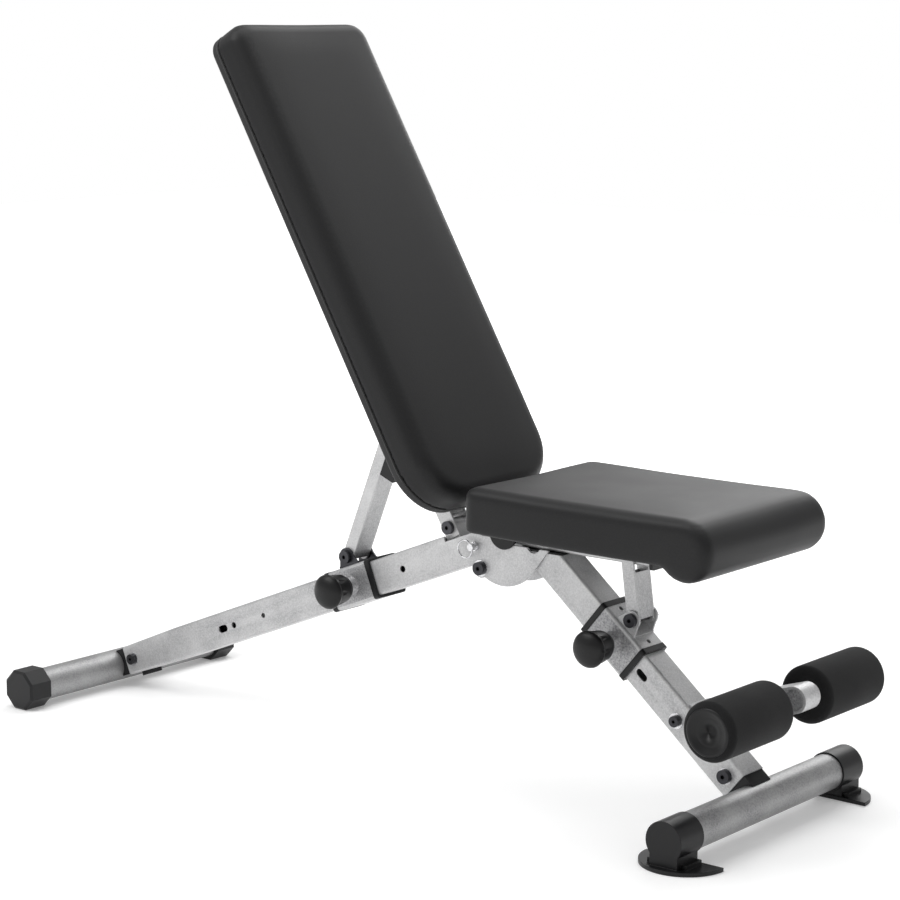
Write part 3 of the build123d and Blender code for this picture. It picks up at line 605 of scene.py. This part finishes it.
@dataclass
class Metalwork:
    """Finishes of the CAD nodes that show as they are."""

    finishes: dict[str, tuple[str, ...]] = field(default_factory=lambda: {
        "powder": ("rear_rail", "front_leg", "hinge_cheeks", "rear_sleeve", "front_sleeve",
                   "front_strut_bracket", "rear_strut", "front_strut", "back_tube", "back_cross_bars",
                   "back_hinge_plates", "seat_tube", "rail_tongue", "roller_arm", "roller_axle"),
        "bar": ("rear_crossbar", "front_crossbar"),
        "black": ("rear_strut_bracket", "frame_bolts", "rear_end_bolt", "back_hinge_bolt", "rear_strut_bolt",
                  "front_strut_bolt", "rear_strut_caps", "front_strut_caps", "back_screws", "seat_screws"),
        "bright": ("frame_washers", "rear_washers", "seat_hinge_bolt", "rear_knob_pin", "front_knob_pin",
                   "lock_pin", "pull_ring"),
        "board": ("back_board", "seat_board"),
    })
    smooth_angle: float = math.radians(28)

    def finish_of(self, node: str) -> Finish:
        """Finish of a CAD node; what isn't listed is moulded plastic."""
        named = {"powder": POWDER_COAT, "bar": BAR_COAT, "black": BLACK_STEEL, "bright": BRIGHT_STEEL,
                 "board": BOARD}
        for kind, nodes in self.finishes.items():
            if node in nodes:
                return named[kind]
        return PLASTIC

    def build(self, hidden: set[str]) -> None:
        """Dress every CAD node that stays in view.

        Args:
            hidden: nodes that other pieces stand for.
        """
        for name, node in frame["nodes"].items():
            if name in hidden:
                continue
            only(node)
            bpy.ops.object.shade_smooth_by_angle(angle=self.smooth_angle)
            node.data.materials.clear()
            node.data.materials.append(self.finish_of(name).material())
            log.info("%s: %s", name, self.finish_of(name).name)


@dataclass
class Studio:
    """Pale floor, soft lamps and the camera, in metres and degrees."""

    camera_at: tuple[float, float, float] = (2.31033, -2.75876, 1.05398)
    azimuth: float = 39.31
    pitch: float = 9.60
    lens: float = 101.8
    floor_half: float = 9.0
    floor_drop: float = 0.5 * MM
    floor_glow: float = 0.17
    far_glow: float = 0.9
    glow_from: float = 1.1
    glow_to: float = 3.2
    world_strength: float = 0.55

    def floor(self) -> None:
        """Flat white floor that brightens with distance until it meets the backdrop."""
        mesh = bpy.data.meshes.new("floor")
        half, level = self.floor_half, -self.floor_drop
        corners = [(-half, -half, level), (half, -half, level), (half, half, level), (-half, half, level)]
        mesh.from_pydata(corners, [], [(0, 1, 2, 3)])
        sheet = bpy.data.objects.new("floor", mesh)
        bpy.context.scene.collection.objects.link(sheet)
        mat = bpy.data.materials.new("studio_paper")
        mat.use_nodes = True
        tree = mat.node_tree
        shader = tree.nodes["Principled BSDF"]
        shader.inputs["Base Color"].default_value = linear("#f2f2f2")
        shader.inputs["Roughness"].default_value = 0.6
        shader.inputs["Specular IOR Level"].default_value = 0.2
        # the paper is lit from below as well, more so away from the bench: its shadows stay light
        # and it runs out to white with no horizon
        spot = add_node(tree, "ShaderNodeTexCoord").outputs["Object"]
        reach = add_node(tree, "ShaderNodeVectorMath", {"0": spot}, operation="LENGTH").outputs["Value"]
        glow = add_node(tree, "ShaderNodeMapRange",
                        {"Value": reach, "From Min": self.glow_from, "From Max": self.glow_to,
                         "To Min": self.floor_glow, "To Max": self.far_glow}).outputs["Result"]
        shader.inputs["Emission Color"].default_value = (1, 1, 1, 1)
        tree.links.new(glow, shader.inputs["Emission Strength"])
        mesh.materials.append(mat)

    def lamp(self, name: str, place: tuple[float, float, float], aim: tuple[float, float, float],
             size: float, power: float) -> None:
        """One square soft lamp.

        Args:
            name: lamp name.
            place: where it hangs.
            aim: point it faces.
            size: edge length in metres.
            power: watts.
        """
        light = bpy.data.lights.new(name, "AREA")
        light.shape, light.size, light.energy = "SQUARE", size, power
        lamp = bpy.data.objects.new(name, light)
        bpy.context.scene.collection.objects.link(lamp)
        lamp.location = place
        lamp.rotation_euler = (Vector(aim) - Vector(place)).to_track_quat("-Z", "Y").to_euler()

    def camera(self) -> None:
        """Camera at the height and turn of a standing viewer to the front right."""
        lens = bpy.data.cameras.new("camera")
        lens.lens, lens.sensor_width = self.lens, 36.0
        lens.dof.use_dof = False
        camera = bpy.data.objects.new("camera", lens)
        bpy.context.scene.collection.objects.link(camera)
        camera.location = self.camera_at
        camera.rotation_euler = Euler((math.radians(90 - self.pitch), 0, math.radians(self.azimuth)))
        bpy.context.scene.camera = camera

    def build(self) -> None:
        """Set the stage."""
        scene = bpy.context.scene
        scene.view_settings.view_transform = "Standard"
        world = bpy.data.worlds.new("studio")
        world.use_nodes = True
        sky = world.node_tree.nodes["Background"]
        sky.inputs["Color"].default_value = (1, 1, 1, 1)
        # the backdrop itself is plain white; as a light it is softer
        seen = add_node(world.node_tree, "ShaderNodeLightPath").outputs["Is Camera Ray"]
        level = add_node(world.node_tree, "ShaderNodeMapRange",
                         {"Value": seen, "To Min": self.world_strength, "To Max": 1.0}).outputs["Result"]
        world.node_tree.links.new(level, sky.inputs["Strength"])
        scene.world = world
        self.floor()
        self.lamp("key", (-1.6, -2.2, 3.4), (0, 0, 0.3), 2.6, 70)
        self.lamp("top", (0.2, 0.4, 3.6), (0, 0, 0), 3.0, 55)
        self.lamp("rim", (-0.6, 2.8, 2.2), (0, 0, 0.5), 2.0, 35)
        self.camera()


def main() -> None:
    """Build the bench piece by piece."""
    out_of_back = Vector((math.sin(BACKREST_SLOPE), 0, math.cos(BACKREST_SLOPE)))
    cushions = (
        Cushion("back_pad", "back_cushion", "backrest", out_of_back),
        Cushion("seat_pad", "seat_cushion", "seat", Vector((0, 0, 1))),
    )
    Metalwork().build({"back_pad", "seat_pad", "right_foam", "left_foam", "right_roller_cap",
                       "left_roller_cap"})
    for cushion in cushions:
        cushion.build()
    BackrestSeam().build()
    Rollers().build()
    Studio().build()
    log.info("bench built")


if __name__ == "__main__":
    main()
